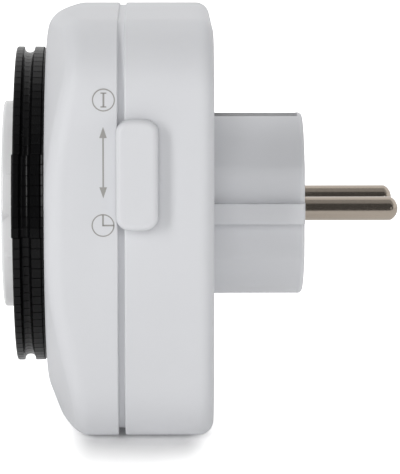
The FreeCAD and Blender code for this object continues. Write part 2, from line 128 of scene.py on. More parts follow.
# Button
BUTTON_FRONT, BUTTON_REAR = -19.0, -10.9
BUTTON_BOTTOM, BUTTON_TOP = -0.3, 21.2
BUTTON_SKIN = -CASE_HALF - 0.15
BUTTON_FACE = BUTTON_BOX[0][1]

# Casing screws, as (y, z)
SCREW_Y = 29.5
SCREW_LOW, SCREW_HIGH = -34.5, 30.6


def linear(hex_colour):
    """The linear colour of an sRGB hex value."""
    channels = []
    for n in (1, 3, 5):
        value = int(hex_colour[n:n + 2], 16) / 255
        channels.append(value / 12.92 if value <= 0.04045 else ((value + 0.055) / 1.055) ** 2.4)
    return tuple(channels)


def number(name, description, default, subtype="NONE"):
    return FloatProperty(name=name, description=description, default=default, min=0.0,
                         precision=3, subtype=subtype)


def power(name, description, default):
    return number(name, description, default, "POWER")


def colour(name, description, default):
    return FloatVectorProperty(name=name, description=description, default=linear(default),
                               size=3, min=0.0, max=1.0, subtype="COLOR")


class CasingSettings(bpy.types.PropertyGroup):
    colour: colour("Casing colour", "Cool white of the two casing halves", "#DADBDE")
    rim_round: number("Front rim round (mm)", "Radius where the front falls into the sides", 4.0)
    rear_round: number("Rear edge round (mm)", "Radius of the casing's rear edge", 2.8)
    seam_round: number("Seam edge round (mm)", "Radius of both edges of the seam", 0.3)
    plug_round: number("Plug end round (mm)", "Radius of the plug's end edge", 0.9)


class HubSettings(bpy.types.PropertyGroup):
    colour: colour("Hub colour", "White of the socket insert", "#F1F1F2")
    edge_round: number("Hub edge round (mm)", "Radius of the hub's front edge", 0.6)


class DialSettings(bpy.types.PropertyGroup):
    colour: colour("Dial colour", "Near black of the dial", "#1B1B1D")
    tappet_colour: colour("Tappet colour", "Near black of the tappets", "#0A0A0B")
    tappet_joint: number("Tappet joint (mm)", "Gap between two tappets", 0.045)
    groove_depth: number("Groove depth (mm)", "Depth of the finger groove", 1.2)
    forward_shift: number("Forward shift (mm)", "How far two groups stand forward", 0.2)
    number_height: number("Number height (mm)", "Height of the numbers 1 to 24", 3.0)
    tick_count: IntProperty(name="Ticks", description="Marks round the dial", default=96, min=24)


class ButtonSettings(bpy.types.PropertyGroup):
    colour: colour("Button colour", "Cool white of the override button", "#DCDDE0")
    edge_round: number("Button edge round (mm)", "Radius of the button's rim", 1.1)


class PinSettings(bpy.types.PropertyGroup):
    colour: colour("Pin colour", "Warm grey of the nickel plating", "#B2A79B")


class MarkSettings(bpy.types.PropertyGroup):
    colour: colour("Ink colour", "Grey of the printed symbols", "#A09E9B")
    line: number("Line width (mm)", "Width of the printed lines", 0.23)


class StageSettings(bpy.types.PropertyGroup):
    floor_colour: colour("Floor colour", "Pale floor under the timer", "#F2F2F2")
    key_power: power("Key light", "Power of the left hand lamp", 5.1)
    front_power: power("Front light", "Power of the lamp by the camera", 3.6)
    side_power: power("Side light", "Power of the right hand lamp", 2.6)
    top_power: power("Top light", "Power of the lamp above and behind", 8.5)
    strip_power: power("Strip light", "Power of the narrow lamp seen in the pins", 0.3)
    ambient: number("Ambient", "Strength of the even light all round", 0.15)
    table_glow: number("Table glow", "Glow of the table on the timer", 0.17)


# Shapes are (points, faces) pairs in millimetres.

def skin(rows, closed=False):
    """Quads between rows of points that are loops of one count; open ends get a flat cap."""
    count = len(rows[0])
    faces = []
    for r in range(len(rows) if closed else len(rows) - 1):
        a, b = r * count, (r + 1) % len(rows) * count
        for c in range(count):
            d = (c + 1) % count
            faces.append((a + c, a + d, b + d, b + c))
    if not closed:
        faces.append(tuple(range(count)))
        faces.append(tuple(range((len(rows) - 1) * count, len(rows) * count)))
    return [point for row in rows for point in row], faces


def joined(*shapes):
    points, faces = [], []
    for more_points, more_faces in shapes:
        shift = len(points)
        points += more_points
        faces += [tuple(index + shift for index in face) for face in more_faces]
    return points, faces


def block(x0, x1, y0, y1, z0, z1):
    rows = [[(x, y0, z0), (x, y1, z0), (x, y1, z1), (x, y0, z1)] for x in (x0, x1)]
    return skin(rows)


def circle(x, radius, y=0.0, z=0.0, steps=96):
    turns = [math.tau * n / steps for n in range(steps)]
    return [(x, y + radius * math.cos(turn), z + radius * math.sin(turn)) for turn in turns]


def lathe(profile, y=0.0, z=0.0, steps=96, closed=False):
    """Turn (x, radius) points about X; an open profile starts and ends on the axis."""
    return skin([circle(x, max(radius, 1e-6), y, z, steps) for x, radius in profile], closed)


def rod(x0, x1, radius, y=0.0, z=0.0, steps=48):
    return skin([circle(x, radius, y, z, steps) for x in (x0, x1)])


def arc(x, r, radius, start, end, steps=6):
    """Points (x, r) on an arc; 0 degrees points along +X and 90 away from the axis."""
    points = []
    for n in range(steps + 1):
        turn = math.radians(start + (end - start) * n / steps)
        points.append((x + radius * math.cos(turn), r + radius * math.sin(turn)))
    return points


def tidy(mesh, smooth_below=32.0):
    """Merges doubles, points faces outwards and shades smooth below an angle."""
    work = bmesh.new()
    work.from_mesh(mesh)
    bmesh.ops.remove_doubles(work, verts=work.verts, dist=1e-4)
    bmesh.ops.recalc_face_normals(work, faces=work.faces)
    limit = math.radians(smooth_below)
    for face in work.faces:
        face.smooth = True
    for edge in work.edges:
        edge.smooth = len(edge.link_faces) == 2 and edge.calc_face_angle(0.0) < limit
    work.to_mesh(mesh)
    work.free()


def new_piece(name, shape):
    points, faces = shape
    mesh = bpy.data.meshes.new(name)
    mesh.from_pydata(points, [], faces)
    tidy(mesh)
    piece = bpy.data.objects.new(name, mesh)
    bpy.context.scene.collection.objects.link(piece)
    return piece


def make_plain(piece):
    """Turns a piece with modifiers into a plain mesh."""
    bpy.context.view_layer.update()
    graph = bpy.context.evaluated_depsgraph_get()
    mesh = bpy.data.meshes.new_from_object(piece.evaluated_get(graph))
    piece.modifiers.clear()
    piece.data = mesh


def cut(piece, *shapes):
    """Cuts shapes out of a piece."""
    for shape in shapes:
        tool = new_piece("cutter", shape)
        change = piece.modifiers.new("cut", "BOOLEAN")
        change.operation = "DIFFERENCE"
        change.solver = "EXACT"
        change.object = tool
        make_plain(piece)
        bpy.data.objects.remove(tool)
    if not piece.data.polygons:
        raise RuntimeError(piece.name + " was cut away")
    tidy(piece.data)


def merge(piece, *others):
    """Adds the meshes of other pieces to one piece."""
    work = bmesh.new()
    for part in (piece, *others):
        work.from_mesh(part.data)
    work.to_mesh(piece.data)
    work.free()
    for part in others:
        bpy.data.objects.remove(part)


def put_on(piece, body, material, replaced=()):
    """Scales a finished piece to metres, paints it and puts it on its body."""
    piece.data.transform(Matrix.Scale(MM, 4))
    piece.data.materials.clear()
    piece.data.materials.append(material)
    for face in piece.data.polygons:
        face.material_index = 0
    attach(piece, body)
    if replaced:
        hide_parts(*replaced)
    return piece


def add(tree, kind, values=None):
    """Adds a node; a key with a leading dot is a property and any other one an input.

    A node or an output is linked to its input, and any other value is set.
    """
    node = tree.nodes.new(kind)
    for key, value in (values or {}).items():
        if isinstance(key, str) and key.startswith("."):
            setattr(node, key[1:], value)
        elif isinstance(value, bpy.types.Node):
            tree.links.new(value.outputs[0], node.inputs[key])
        elif isinstance(value, bpy.types.NodeSocket):
            tree.links.new(value, node.inputs[key])
        else:
            node.inputs[key].default_value = value
    return node


def new_material(name):
    material = bpy.data.materials.get(name) or bpy.data.materials.new(name)
    material.use_nodes = True
    material.node_tree.nodes.clear()
    return material, material.node_tree


def shifted(base, factor):
    return tuple(min(1.0, channel * factor) for channel in base) + (1.0,)


def noise(tree, size, detail, stretch=(1.0, 1.0, 1.0)):
    """Noise in the piece's own space, at a size in millimetres."""
    place = add(tree, "ShaderNodeTexCoord").outputs["Object"]
    turned = add(tree, "ShaderNodeMapping", {"Scale": stretch, "Vector": place})
    return add(tree, "ShaderNodeTexNoise",
               {"Scale": 1 / (size * MM), "Detail": detail, "Vector": turned})


def surface(tree, base, spread, roughness, uneven, broad, fine, strength, depth, settings):
    """Ends a material: its tint and gloss follow one noise and its bump another."""
    tint = add(tree, "ShaderNodeMix", {".data_type": "RGBA", 0: broad,
                                       6: shifted(base, 1 - spread),
                                       7: shifted(base, 1 + spread)})
    gloss = add(tree, "ShaderNodeMapRange", {"Value": broad, "To Min": roughness - uneven,
                                             "To Max": roughness + uneven})
    bump = add(tree, "ShaderNodeBump", {"Strength": strength, "Distance": depth * MM,
                                        "Height": fine})
    shader = add(tree, "ShaderNodeBsdfPrincipled",
                 {**settings, "Base Color": tint.outputs[2], "Roughness": gloss, "Normal": bump})
    add(tree, "ShaderNodeOutputMaterial", {"Surface": shader})


def moulded(name, base, roughness, specular=0.5, grain=0.25, depth=0.004, spread=0.02,
            coat=0.0):
    """A moulded plastic: cloudy tint, uneven gloss and a fine grain, sizes in millimetres."""
    material, tree = new_material(name)
    clouds = noise(tree, 12.0, 3.0)
    surface(tree, base, spread, roughness, 0.04, clouds, noise(tree, grain, 2.0), 0.35, depth,
            {"IOR": 1.5, "Specular IOR Level": specular, "Coat Weight": coat,
             "Coat Roughness": 0.15})
    return material


def metal(name, base, roughness, marks, stretch=(0.1, 1.0, 1.0), depth=0.003):
    """A bare or plated metal with marks that are stretched along one axis."""
    material, tree = new_material(name)
    drawn = noise(tree, marks, 3.0, stretch)
    surface(tree, base, 0.06, roughness, 0.05, drawn, drawn, 0.3, depth, {"Metallic": 1.0})
    return material


# Name: what makes it, its colour or the setting that holds it, its roughness and the rest.
FINISHES = {
    # ABS from a spark-eroded mould: an even, cool white with a soft satin sheen.
    "moulded_abs_white": (moulded, "timer_casing.colour", 0.48, {"specular": 0.35}),
    # The same ABS from a smoother mould: a little brighter along its rounded rim.
    "moulded_abs_button": (moulded, "timer_button.colour", 0.36,
                           {"grain": 0.35, "depth": 0.002}),
    # Polycarbonate from a polished mould: white, with a clear gloss on its edges.
    "moulded_polycarbonate_white": (moulded, "timer_hub.colour", 0.24,
                                    {"grain": 0.5, "depth": 0.001, "coat": 0.2}),
    # Black ABS from a matt mould: deep black, so that the white numbers stand out.
    "moulded_abs_black": (moulded, "timer_dial.colour", 0.5, {"specular": 0.3, "spread": 0.1}),
    # Black acetal, slippery and slightly waxy: narrow dim highlights along its edges.
    "moulded_acetal_black": (moulded, "timer_dial.tappet_colour", 0.26,
                             {"specular": 0.17, "grain": 0.4, "depth": 0.002, "spread": 0.12}),
    # Nickel on turned brass: warm grey, with faint rings from the turning, drawn at 0.2 mm.
    "turned_nickel_plate": (metal, "timer_pins.colour", 0.22,
                            {"marks": 0.2, "stretch": (1.0, 0.02, 0.02), "depth": 0.002}),
    # Grey pad-printing ink: matt and flat on the satin casing, without an edge.
    "printed_grey_ink": (moulded, "timer_marks.colour", 0.55, {}),
    # White pad-printing ink: matt, a little uneven in its cover.
    "printed_white_ink": (moulded, "#E4E4E2", 0.55, {}),
    # Rolled brass pressed to shape: yellow, with long rolling marks along the strip.
    "pressed_brass": (metal, "#D6B569", 0.26, {"marks": 0.3}),
    # Bronze strip with nickel plate: paler and glossier than bare steel.
    "nickel_plated_strip": (metal, "#CFCBC2", 0.24, {"marks": 0.3}),
    # Hardened strip, rolled bright: grey with a cool edge and fine lengthwise lines.
    "rolled_spring_steel": (metal, "#B4B6B8", 0.3, {"marks": 0.25}),
    # Steel with a bright zinc plate: blue grey, a little cloudy.
    "zinc_plated_steel": (metal, "#B9BDC2", 0.34, {"marks": 0.8, "stretch": (1.0, 1.0, 1.0)}),
    # Deep-drawn sheet: grey, with marks that run along the can's wall.
    "drawn_sheet_steel": (metal, "#AAAAA6", 0.36, {"marks": 0.4}),
    # Enamelled copper wire wound in layers: orange brown, banded at a wire's pitch of 0.2 mm.
    "wound_enamelled_copper": (metal, "#B0672F", 0.32,
                               {"marks": 0.2, "stretch": (1.0, 0.05, 0.05)}),
    # Glass-filled nylon: dark grey and dull.
    "moulded_nylon_grey": (moulded, "#39393B", 0.6, {"specular": 0.4}),
    # Natural acetal: a faintly yellow white with a waxy sheen.
    "moulded_acetal_natural": (moulded, "#E6E3D9", 0.34, {}),
    # White nylon: neutral white and satin.
    "moulded_nylon_white": (moulded, "#DCDDDF", 0.4, {}),
}

# Finish: the frame nodes that are shown as they are.
NODE_FINISHES = {
    "moulded_acetal_natural": ["idler_gear", "follower_lever"],
    "zinc_plated_steel": ["idler_axle", "plate_screws"],
    "moulded_nylon_grey": ["mechanism_plate", "pin_carrier", "contact_carrier", "switch_base"],
    "drawn_sheet_steel": ["motor_can", "motor_rotor"],
    "wound_enamelled_copper": ["motor_coil"],
    "moulded_nylon_white": ["shutter"],
    "rolled_spring_steel": ["shutter_spring", "detent_spring"],
    "pressed_brass": ["neutral_bus", "live_bus", "live_link", "contact_arm",
                      "live_socket_contact", "neutral_socket_contact"],
}


def finish(name):
    """The material of that name, made from FINISHES and the settings."""
    make, base, roughness, more = FINISHES[name]
    base = linear(base) if base[0] == "#" else bpy.context.scene.path_resolve(base)
    return make(name, tuple(base), roughness, **more)


def case_columns(per_corner=16, per_side=14):
    """Places round the casing's outline, as (y, z, outward y, outward z)."""
    r = CASE_CORNER
    corners = ((CASE_HALF - r, CASE_TOP - r, 0), (r - CASE_HALF, CASE_TOP - r, 90),
               (r - CASE_HALF, CASE_BOTTOM + r, 180), (CASE_HALF - r, CASE_BOTTOM + r, 270))
    arcs = []
    for cy, cz, start in corners:
        turns = [math.radians(start + 90 * n / per_corner) for n in range(per_corner + 1)]
        arcs.append([(cy + r * math.cos(t), cz + r * math.sin(t), math.cos(t), math.sin(t))
                     for t in turns])
    columns = []
    for n, places in enumerate(arcs):
        columns += places
        y0, z0, ny, nz = places[-1]
        y1, z1 = arcs[(n + 1) % 4][0][:2]
        for step in range(1, per_side):
            share = step / per_side
            columns.append((y0 + (y1 - y0) * share, z0 + (z1 - z0) * share, ny, nz))
    return columns


def front_fall(radius):
    """How far the front lies back at a radius, and its slope: flat, soft crease, cone."""
    soft = 1.5
    run = radius - FLAT_FRONT_RADIUS + soft
    if run <= 0:
        return 0.0, 0.0
    if run < 2 * soft:
        return FRONT_SLOPE * run * run / (4 * soft), FRONT_SLOPE * run / (2 * soft)
    return FRONT_SLOPE * (radius - FLAT_FRONT_RADIUS), FRONT_SLOPE


def rim_ball(column, radius):
    """Centre of a ball that touches side and front from within, and the front's normal."""
    y, z, ny, nz = column
    cy, cz = y - ny * radius, z - nz * radius
    reach = math.hypot(cy, cz)
    touch = reach
    for _ in range(8):
        fall, slope = front_fall(touch)
        stretch = math.sqrt(1 + slope * slope)
        touch = reach + radius * slope / stretch
    centre = Vector((FRONT_FACE + fall + radius / stretch, cy, cz))
    return centre, Vector((-1, slope * cy / reach, slope * cz / reach)) / stretch


def inward(column, x, inset):
    y, z, ny, nz = column
    return x, y - ny * inset, z - nz * inset


def cover_profile(column, rim, edge):
    """One closed section of the front cover, from the dial's opening out, round and back."""
    centre, front = rim_ball(column, rim)
    touch = centre + front * rim
    reach = math.hypot(touch.y, touch.z)
    uy, uz = touch.y / reach, touch.z / reach
    points = [(FRONT_FACE + CASE_WALL, DIAL_OPENING), (FRONT_FACE + 0.35, DIAL_OPENING)]
    points += arc(FRONT_FACE + 0.3, DIAL_OPENING + 0.3, 0.3, 270, 180, 3)
    keys = [33.0, 34.0, 34.5, 35.0, 35.5, 36.0, 36.5, 37.0, 37.5, 38.5, 40.0, 42.0]
    for n, key in enumerate(keys):
        radius = min(key, reach - 0.02 * (len(keys) - n))
        points.append((FRONT_FACE + front_fall(radius)[0], radius))
    section = [(x, radius * uy, radius * uz) for x, radius in points]
    side = Vector((0, column[2], column[3]))
    section += [tuple(centre + front.slerp(side, n / 10) * rim) for n in range(11)]
    section.append(inward(column, centre.x + 0.1, 0.0))
    section.append(inward(column, (centre.x + SEAM_FRONT) / 2, 0.0))
    section.append(inward(column, SEAM_FRONT - edge - 0.05, 0.0))
    for x, inset in arc(0, 0, edge, 90, 0, 4):
        section.append(inward(column, SEAM_FRONT - edge + x, edge - inset))
    depth = SEAM_DEPTH - (SEAM_DEPTH - SEAM_DEPTH_ON_TOP) * max(0.0, column[3]) ** 2
    section.append(inward(column, SEAM_FRONT, depth))
    section.append(inward(column, SEAM_REAR + 0.05, depth))
    section.append(inward(column, SEAM_REAR + 0.05, CASE_WALL))
    wall = inward(column, 0.0, CASE_WALL)
    inner = math.hypot(wall[1], wall[2])
    for share in (0.0, 0.35, 0.7, 1.0):
        radius = inner + (DIAL_OPENING + 1.5 - inner) * share
        x = FRONT_FACE + CASE_WALL + max(0.0, radius - FLAT_FRONT_RADIUS) * FRONT_SLOPE
        if share == 0.0:
            section.append((x, wall[1], wall[2]))
        else:
            section.append((x, radius * wall[1] / inner, radius * wall[2] / inner))
    return section


def screw_places():
    return [(y, z) for y in (-SCREW_Y, SCREW_Y) for z in (SCREW_LOW, SCREW_HIGH)]


class TIMER_OT_front_cover(bpy.types.Operator):
    """Front half of the casing: flat round the dial, then falling back to a rounded rim"""
    bl_idname = "timer.front_cover"
    bl_label = "Front cover"

    def execute(self, context):
        size = context.scene.timer_casing
        columns = case_columns()
        sections = [cover_profile(column, size.rim_round, size.seam_round) for column in columns]
        rows = [[section[n] for section in sections] for n in range(len(sections[0]))]
        cover = new_piece("front_cover_shell", skin(rows, closed=True))
        for y, z in screw_places():
            post = new_piece("post", block(-27.0, -2.3, y - 2.9, y + 2.9, z - 2.9, z + 2.9))
            cut(post, rod(-12.0, 0.0, 1.2, y, z))
            merge(cover, post)
        put_on(cover, "casing", finish("moulded_abs_white"), ["front_cover"])
        return {"FINISHED"}


def rear_section(column, radius, edge):
    """One closed section of the rear half, from the seam round the outside and back."""
    section = [inward(column, SEAM_REAR, CASE_WALL)]
    for x, inset in arc(0, 0, edge, 180, 90, 4):
        section.append(inward(column, SEAM_REAR + edge + x, edge - inset))
    section.append(inward(column, SEAM_REAR + edge + 0.05, 0.0))
    section.append(inward(column, -radius - 0.1, 0.0))
    for x, inset in arc(0, 0, radius, 90, 0, 10):
        section.append(inward(column, x - radius, radius - inset))
    section.append(inward(column, 0.0, radius + 0.1))
    reach = math.hypot(column[0], column[1])
    core = 16.0 / reach
    for x in (0.0, -CASE_WALL):
        section.append((x, column[0] * core, column[1] * core))
    section.append(inward(column, -CASE_WALL, CASE_WALL))
    return section


def plug_outline(x, inset):
    """The plug's cross-section: round, with a flat and a middle rib on both sides."""
    radius = PLUG_RADIUS - inset
    flat = math.sqrt(radius ** 2 - PLUG_FLAT_HALF_HEIGHT ** 2)
    rib = math.asin(PLUG_RIB_HALF_HEIGHT / radius)
    top = math.asin(PLUG_FLAT_HALF_HEIGHT / radius)
    quarter = [(radius * math.cos(rib * n / 4), radius * math.sin(rib * n / 4))
               for n in range(5)]
    quarter += [(flat, PLUG_RIB_HALF_HEIGHT)]
    quarter += [(flat, PLUG_RIB_HALF_HEIGHT
                 + (PLUG_FLAT_HALF_HEIGHT - PLUG_RIB_HALF_HEIGHT) * n / 4) for n in range(1, 4)]
    turns = [top + (math.pi / 2 - top) * n / 20 for n in range(21)]
    quarter += [(radius * math.cos(turn), radius * math.sin(turn)) for turn in turns]
    half = quarter + [(-y, z) for y, z in reversed(quarter[:-1])]
    whole = half + [(-y, -z) for y, z in half[1:-1]]
    return [(x, y, z) for y, z in whole]


class TIMER_OT_rear_housing(bpy.types.Operator):
    """Rear half of the casing with the round plug, its flats, recesses and pin holes"""
    bl_idname = "timer.rear_housing"
    bl_label = "Rear housing"

    def execute(self, context):
        size = context.scene.timer_casing
        columns = case_columns()
        sections = [rear_section(column, size.rear_round, size.seam_round) for column in columns]
        rows = [[section[n] for section in sections] for n in range(len(sections[0]))]
        shell = new_piece("rear_housing_shell", skin(rows, closed=True))
        slots = [block(-3.0, 17.4, -3.6, 3.6, low, low + 3.1) for low in (16.5, -19.6)]
        cut(shell, *slots, block(-15.6, -11.8, -40.0, -33.0, 6.3, 19.9))
        for y, z in screw_places():
            cut(shell, rod(-1.5, 1.0, 3.1, y, z), rod(-5.0, 0.0, 1.6, y, z, 32))
        edge = size.plug_round
        levels = [(-2.1, 0.0), (PLUG_END - edge - 0.1, 0.0)]
        levels += [(PLUG_END - edge + x, edge - r) for x, r in arc(0, 0, edge, 90, 0, 6)]
        plug = new_piece("plug", skin([plug_outline(x, inset) for x, inset in levels]))
        cut(plug, rod(-3.0, PLUG_END - PLUG_END_WALL, PLUG_BORE, steps=96), *slots)
        for y in (-PIN_OFFSET, PIN_OFFSET):
            cut(plug, rod(10.0, 20.0, PIN_TAIL, y))
        posts = []
        for y, z in ((30.5, -12.5), (-2.5, -35.0)):
            post = new_piece("post", block(-21.4, -2.1, y - 2.2, y + 2.2, z - 2.2, z + 2.2))
            cut(post, rod(-30.0, -14.0, 0.9, y, z, 24))
            posts.append(post)
        merge(shell, plug, *posts)
        put_on(shell, "casing", finish("moulded_abs_white"), ["rear_housing"])
        return {"FINISHED"}


class TIMER_OT_hub(bpy.types.Operator):
    """White hub in the dial: recess with guide pads, floor slots, pin holes and pointer"""
    bl_idname = "timer.hub"
    bl_label = "Hub"

    def execute(self, context):
        edge = context.scene.timer_hub.edge_round
        profile = [(RECESS_FLOOR, 0.0), (RECESS_FLOOR, RECESS_RADIUS - 0.3),
                   (RECESS_FLOOR - 0.3, RECESS_RADIUS)]
        profile += [(HUB_FRONT + 0.4, RECESS_RADIUS)]
        profile += arc(HUB_FRONT + 0.35, RECESS_RADIUS + 0.35, 0.35, 270, 180, 4)
        profile += arc(HUB_FRONT + edge, HUB_RADIUS - edge, edge, 180, 90, 8)
        profile += [(HUB_FRONT + edge + 0.05, HUB_RADIUS), (-24.5, HUB_RADIUS),
                    (-24.5, FLANGE_RADIUS), (HUB_REAR, FLANGE_RADIUS), (HUB_REAR, 0.0)]
        hub = new_piece("hub", lathe(profile, steps=144))
        for y in (-PIN_OFFSET, PIN_OFFSET):
            mouth = [(RECESS_FLOOR - 1, 3.9), (RECESS_FLOOR + 0.3, 2.7), (HUB_REAR + 1, 2.7)]
            cut(hub, skin([circle(x, r, y, 0.0, 48) for x, r in mouth]))
        for low in (17.1, -19.2):
            cut(hub, block(RECESS_FLOOR - 1, HUB_REAR + 1, -3.3, 3.3, low, low + 2.1))
        pads = []
        for side in (-1, 1):
            low, high = sorted((side * 16.7, side * 19.7))
            pad = new_piece("pad", block(-41.0, RECESS_FLOOR + 0.1, low, high, -8.3, 8.3))
            low, high = sorted((side * 15.0, side * 19.3))
            cut(pad, block(-43.0, RECESS_FLOOR - 1.0, low, high, -2.4, 2.4))
            pads.append(pad)
        front, tip, root, proud = HUB_FRONT + 0.35, HUB_FRONT + 2.5, -20.85, -21.3
        points = [(front, root, -1.45), (front, root, 1.5), (tip, root, 0.25),
                  (front, proud, 0.05)]
        pointer = new_piece("pointer", (points, [(0, 1, 2), (0, 1, 3), (1, 2, 3), (0, 2, 3)]))
        tidy(pointer.data, 5.0)
        merge(hub, pointer, *pads)
        put_on(hub, "casing", finish("moulded_polycarbonate_white"),
               ["socket_insert"])
        return {"FINISHED"}


def copying_tree(name, numbers, places):
    """A node group, made once, that copies a piece to the places that a function adds.

    Its inputs are a geometry, numbers as (name, kind) and a material.
    """
    if name in bpy.data.node_groups:
        return bpy.data.node_groups[name]
    tree = bpy.data.node_groups.new(name, "GeometryNodeTree")
    for label, kind in (("Geometry", "Geometry"), *numbers, ("Material", "Material")):
        tree.interface.new_socket(label, in_out="INPUT", socket_type="NodeSocket" + kind)
    tree.interface.new_socket("Geometry", in_out="OUTPUT", socket_type="NodeSocketGeometry")
    given = add(tree, "NodeGroupInput").outputs
    copies = add(tree, "GeometryNodeInstanceOnPoints",
                 {"Instance": given["Geometry"], **places(tree, given)})
    real = add(tree, "GeometryNodeRealizeInstances", {0: copies})
    paint = add(tree, "GeometryNodeSetMaterial",
                {"Geometry": real, "Material": given["Material"]})
    add(tree, "NodeGroupOutput", {0: paint})
    return tree


def places_round_axis(tree, given):
    """Turns round the X axis, from a first angle in equal steps."""
    back = add(tree, "ShaderNodeMath", {".operation": "MULTIPLY", 0: given["Forward"], 1: -1.0})
    spot = add(tree, "ShaderNodeCombineXYZ", {"X": back})
    spots = add(tree, "GeometryNodePoints", {"Count": given["Count"], "Position": spot})
    index = add(tree, "GeometryNodeInputIndex")
    turn = add(tree, "ShaderNodeMath", {".operation": "MULTIPLY_ADD", 0: index,
                                        1: given["Step Angle"], 2: given["First Angle"]})
    euler = add(tree, "ShaderNodeCombineXYZ", {"X": turn})
    turned = add(tree, "FunctionNodeEulerToRotation", {0: euler})
    return {"Points": spots, "Rotation": turned}


def places_at_corners(tree, given):
    """The four corners of an upright rectangle in the plane of Y and Z."""
    grid = add(tree, "GeometryNodeMeshGrid", {"Vertices X": 2, "Vertices Y": 2,
                                              "Size X": given["Height"],
                                              "Size Y": given["Width"]})
    spot = add(tree, "ShaderNodeCombineXYZ", {"Z": given["Middle Height"]})
    upright = add(tree, "GeometryNodeTransform", {"Geometry": grid, "Translation": spot,
                                                  "Rotation": (0.0, math.pi / 2, 0.0)})
    return {"Points": upright}


def ring_tree():
    return copying_tree("copies_round_axis", (
        ("Count", "Int"), ("First Angle", "Float"), ("Step Angle", "Float"),
        ("Forward", "Float")), places_round_axis)


def corner_tree():
    return copying_tree("copies_at_corners", (
        ("Width", "Float"), ("Height", "Float"), ("Middle Height", "Float")),
        places_at_corners)


def run_tree(piece, tree, values):
    """Runs a node tree on a piece and keeps the result as its plain mesh."""
    change = piece.modifiers.new(tree.name, "NODES")
    change.node_group = tree
    for item in tree.interface.items_tree:
        if item.in_out == "INPUT" and item.name in values:
            change[item.identifier] = values[item.name]
    make_plain(piece)
    if not piece.data.polygons:
        raise RuntimeError(tree.name + " made nothing on " + piece.name)


def gear_ring(x0, x1):
    pitch = GEAR_MODULE * GEAR_TEETH / 2
    tip, root = pitch + 0.75 * GEAR_MODULE, pitch - 1.05 * GEAR_MODULE
    rows = []
    for x, toothed in ((x0, True), (x1, True), (x1, False), (x0, False)):
        row = []
        for tooth in range(GEAR_TEETH):
            for radius, share in ((root, -0.33), (tip, -0.11), (tip, 0.11), (root, 0.33)):
                turn = math.radians(GEAR_FIRST_TOOTH + (tooth + share) * 360.0 / GEAR_TEETH)
                r = radius if toothed else DIAL_BORE
                row.append((x, r * math.cos(turn), r * math.sin(turn)))
        rows.append(row)
    return skin(rows, closed=True)


def number_mesh(text, height, radius, degrees):
    """A flat number on the dial's face, its top outwards, as a mesh in place."""
    curve = bpy.data.curves.new("number", "FONT")
    curve.body = text
    curve.size = height / 0.7
    curve.align_x = "CENTER"
    curve.extrude = 0.02
    curve.resolution_u = 3
    thing = bpy.data.objects.new("number", curve)
    bpy.context.scene.collection.objects.link(thing)
    bpy.context.view_layer.update()
    graph = bpy.context.evaluated_depsgraph_get()
    mesh = bpy.data.meshes.new_from_object(thing.evaluated_get(graph))
    bpy.data.objects.remove(thing)
    facing = Matrix(((0, 0, -1, 0), (-1, 0, 0, 0), (0, 1, 0, 0), (0, 0, 0, 1)))
    outwards = Matrix.Rotation(math.radians(degrees - 90), 4, "X")
    mesh.transform(outwards @ Matrix.Translation((DIAL_FACE - 0.02, 0, radius)) @ facing)
    return mesh


class TIMER_OT_dial(bpy.types.Operator):
    """The dial's ring with its gear, numbers 1 to 24 and tick marks"""
    bl_idname = "timer.dial"
    bl_label = "Dial"

    def execute(self, context):
        size = context.scene.timer_dial
        profile = arc(DIAL_FACE + 0.3, DIAL_BORE + 0.3, 0.3, 270, 180, 3)
        profile += arc(DIAL_FACE + 0.3, DIAL_EDGE - 0.3, 0.3, 180, 90, 3)
        profile += [(GEAR_FRONT, DIAL_EDGE), (GEAR_FRONT, DIAL_BORE)]
        ring = new_piece("dial_ring", joined(lathe(profile, steps=144, closed=True),
                                             gear_ring(GEAR_FRONT, DIAL_REAR)))
        put_on(ring, "dial", finish("moulded_abs_black"), ["dial"])

        numbers = new_piece("dial_numbers", ([], []))
        work = bmesh.new()
        for hour in range(1, HOURS + 1):
            degrees = TAPPET_START + 180 - (hour - 10) * 360.0 / HOURS
            mesh = number_mesh(str(hour), size.number_height, 22.4, degrees)
            work.from_mesh(mesh)
            bpy.data.meshes.remove(mesh)
        work.to_mesh(numbers.data)
        work.free()
        put_on(numbers, "dial", finish("printed_white_ink"))

        tick = block(DIAL_FACE - 0.04, DIAL_FACE + 0.05, 26.9, 28.3, -0.11, 0.11)
        ticks = new_piece("dial_ticks", tick)
        run_tree(ticks, ring_tree(), {
            "Count": size.tick_count, "First Angle": math.radians(TAPPET_START),
            "Step Angle": math.tau / size.tick_count, "Forward": 0.0,
            "Material": finish("printed_white_ink")})
        put_on(ticks, "dial", finish("printed_white_ink"))
        return {"FINISHED"}


def tappet_profile(depth, inset):
    """A tappet's section: two flanges, a round finger groove, a rear lip and a tail."""
    top = TAPPET_OUTER - inset
    front = TAPPET_FRONT + inset
    points = [(front, TAPPET_INNER + inset)]
    points += arc(front + 0.4, top - 0.4, 0.4, 180, 90, 4)
    centre, half, power = -36.85, 1.16, 2.2
    for n in range(13):
        share = -math.cos(math.pi * n / 12)
        dip = max(0.0, 1 - abs(share) ** power) ** (1 / power)
        points.append((centre + half * share, top - 0.02 - depth * dip))
    points += [(-33.9, top - 0.05), (-33.72, top - 0.3), (-33.62, top - 0.3), (-33.14, top - 0.05)]
    points += [(-32.95, top - 0.1), (TAPPET_REAR - inset, top - 0.75),
               (TAPPET_REAR - inset, TAPPET_INNER + inset)]
    return points


def tappet_shape(joint, depth):
    """One tappet across the first step, with a small bevel along both joints."""
    gap = joint / 2 / TAPPET_OUTER
    bevel = 0.08
    step = math.radians(TAPPET_STEP)
    soft = bevel / TAPPET_OUTER
    rows = []
    for turn, inset in ((gap, bevel), (gap + soft, 0.0), (step - gap - soft, 0.0),
                        (step - gap, bevel)):
        rows.append([(x, r * math.cos(turn), r * math.sin(turn))
                     for x, r in tappet_profile(depth, inset)])
    return skin(rows)


